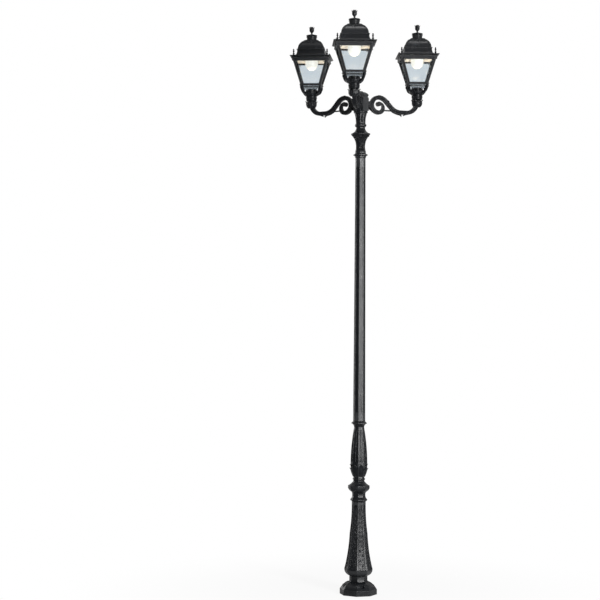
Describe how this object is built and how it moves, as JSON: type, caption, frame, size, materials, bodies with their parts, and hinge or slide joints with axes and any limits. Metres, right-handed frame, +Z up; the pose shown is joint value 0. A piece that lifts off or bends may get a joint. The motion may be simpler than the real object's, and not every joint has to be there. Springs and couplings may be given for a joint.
{
  "type": "triple head lamp post",
  "caption": "Tall eight-sided cast post on a wide foot with S-scroll arms, each carrying a four-sided lantern whose roof hinges open.",
  "frame": {"origin": "centre of the foot's underside, on the ground", "axes": "+Z up along the column, -Y along the front arm"},
  "size_m": [1.0587, 0.9722, 3.954],
  "materials": {
    "cast_black": "fine-textured black coating on cast aluminium, soft grey sheen",
    "galvanised_steel": "hot-dip galvanised, dull",
    "steel_screws": "blackened stainless screws, bolts and pins",
    "grey_plastic": "moulded light grey housing",
    "clear_glazing": "clear, faintly blue",
    "seal": "soft black seal",
    "cream_reflector": "satin cream-white",
    "white_ceramic": "glazed white",
    "opal_bulb": "opal globe, lit warm white"
  },
  "bodies": {
    "root": {"base_plate": "galvanised_steel", "core_tube": "galvanised_steel", "foot": "cast_black", "pedestal": "cast_black", "fuse_box": "grey_plastic", "knob": "cast_black", "vase": "cast_black", "shaft": "cast_black", "shaft_ring": "cast_black", "capital": "cast_black", "neck": "cast_black", "hub": "cast_black", "hub_cap": "cast_black", "arm_bolts": "steel_screws", "front_arm": "cast_black", "right_arm": "cast_black", "left_arm": "cast_black"},
    "access_door": {"access_door": "cast_black"},
    "door_screw": {"door_screw": "steel_screws"},
    "front_lantern": {"front_cradle": "cast_black", "front_set_screws": "steel_screws", "front_glass_frame": "cast_black", "front_glazing": "clear_glazing", "front_gasket": "seal", "front_hinge_pin": "steel_screws"},
    "front_roof": {"front_roof": "cast_black", "front_vent_lid": "cast_black", "front_tulip_finial": "cast_black", "front_corner_finials": "cast_black", "front_reflector": "cream_reflector", "front_lamp_holder": "white_ceramic"},
    "front_bulb": {"front_bulb": "opal_bulb"},
    "right_lantern": {"right_cradle": "cast_black", "right_set_screws": "steel_screws", "right_glass_frame": "cast_black", "right_glazing": "clear_glazing", "right_gasket": "seal", "right_hinge_pin": "steel_screws"},
    "right_roof": {"right_roof": "cast_black", "right_vent_lid": "cast_black", "right_tulip_finial": "cast_black", "right_corner_finials": "cast_black", "right_reflector": "cream_reflector", "right_lamp_holder": "white_ceramic"},
    "right_bulb": {"right_bulb": "opal_bulb"},
    "left_lantern": {"left_cradle": "cast_black", "left_set_screws": "steel_screws", "left_glass_frame": "cast_black", "left_glazing": "clear_glazing", "left_gasket": "seal", "left_hinge_pin": "steel_screws"},
    "left_roof": {"left_roof": "cast_black", "left_vent_lid": "cast_black", "left_tulip_finial": "cast_black", "left_corner_finials": "cast_black", "left_reflector": "cream_reflector", "left_lamp_holder": "white_ceramic"},
    "left_bulb": {"left_bulb": "opal_bulb"}
  },
  "joints": [
    {"name": "door_lift_off", "type": "slide", "parent": "root", "child": "access_door", "axis": [0.3827, 0.9239, 0], "range_m": [0, 0.06]},
    {"name": "door_screw_turn", "type": "hinge", "parent": "access_door", "child": "door_screw", "pos_m": [0.03061, 0.07391, 0.287], "axis": [0.3827, 0.9239, 0], "range_deg": [0, 1440]},
    {"name": "front_lantern_turn", "type": "hinge", "parent": "root", "child": "front_lantern", "pos_m": [0, -0.43, 3.442], "axis": [0, 0, 1], "range_deg": [-90, 90]},
    {"name": "front_roof_hinge", "type": "hinge", "parent": "front_lantern", "child": "front_roof", "pos_m": [-0.02143, -0.29469, 3.718], "axis": [-0.9877, -0.1564, 0], "range_deg": [0, 80]},
    {"name": "front_bulb_turn", "type": "hinge", "parent": "front_roof", "child": "front_bulb", "pos_m": [0, -0.43, 3.722], "axis": [0, 0, 1], "range_deg": [-1260, 0]},
    {"name": "right_lantern_turn", "type": "hinge", "parent": "root", "child": "right_lantern", "pos_m": [0.37239, 0.215, 3.442], "axis": [0, 0, 1], "range_deg": [-90, 90]},
    {"name": "right_roof_hinge", "type": "hinge", "parent": "right_lantern", "child": "right_roof", "pos_m": [0.35096, 0.35031, 3.718], "axis": [-0.9877, -0.1564, 0], "range_deg": [0, 80]},
    {"name": "right_bulb_turn", "type": "hinge", "parent": "right_roof", "child": "right_bulb", "pos_m": [0.37239, 0.215, 3.722], "axis": [0, 0, 1], "range_deg": [-1260, 0]},
    {"name": "left_lantern_turn", "type": "hinge", "parent": "root", "child": "left_lantern", "pos_m": [-0.37239, 0.215, 3.442], "axis": [0, 0, 1], "range_deg": [-90, 90]},
    {"name": "left_roof_hinge", "type": "hinge", "parent": "left_lantern", "child": "left_roof", "pos_m": [-0.37956, 0.35181, 3.718], "axis": [-0.9986, -0.0523, 0], "range_deg": [0, 80]},
    {"name": "left_bulb_turn", "type": "hinge", "parent": "left_roof", "child": "left_bulb", "pos_m": [-0.37239, 0.215, 3.722], "axis": [0, 0, 1], "range_deg": [-1260, 0]}
  ]
}
